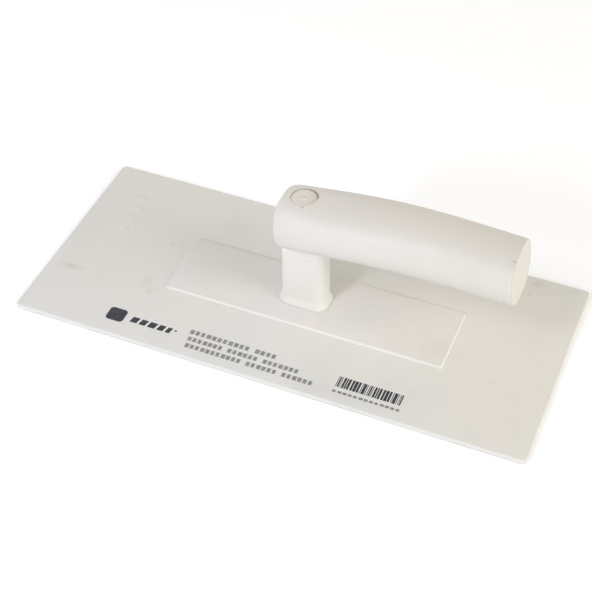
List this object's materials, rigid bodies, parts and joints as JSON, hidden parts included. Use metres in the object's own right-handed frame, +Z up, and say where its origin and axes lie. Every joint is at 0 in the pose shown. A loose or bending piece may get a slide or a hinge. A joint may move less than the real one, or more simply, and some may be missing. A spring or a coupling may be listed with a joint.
{
  "type": "plastic finishing trowel",
  "caption": "Thin rectangular white plastic plastering trowel with a raised backing pad and an arched lengthwise grip cantilevered from one post.",
  "frame": {"origin": "middle of the blade's working face, which is the lowest face of the tool", "axes": "+X along the blade towards the free end of the grip, +Y across the blade, +Z up from the working face to the grip"},
  "size_m": [0.27, 0.12, 0.0767],
  "materials": {
    "blade_plastic": "satin white moulded plastic",
    "pad_plastic": "satin white moulded plastic",
    "post_plastic": "satin white moulded plastic",
    "grip_plastic": "semi-gloss off-white moulded plastic",
    "cap_plastic": "satin cream moulded plastic",
    "cover_plastic": "satin off-white moulded plastic",
    "steel": "zinc plated"
  },
  "bodies": {
    "root": {"blade": "blade_plastic", "backing_pad": "pad_plastic", "anchor_plate": "steel", "post": "post_plastic", "grip": "grip_plastic", "grip_end_cap": "cap_plastic", "screw_cover": "cover_plastic", "handle_bolt": "steel", "bolt_washer": "steel"}
  },
  "joints": []
}
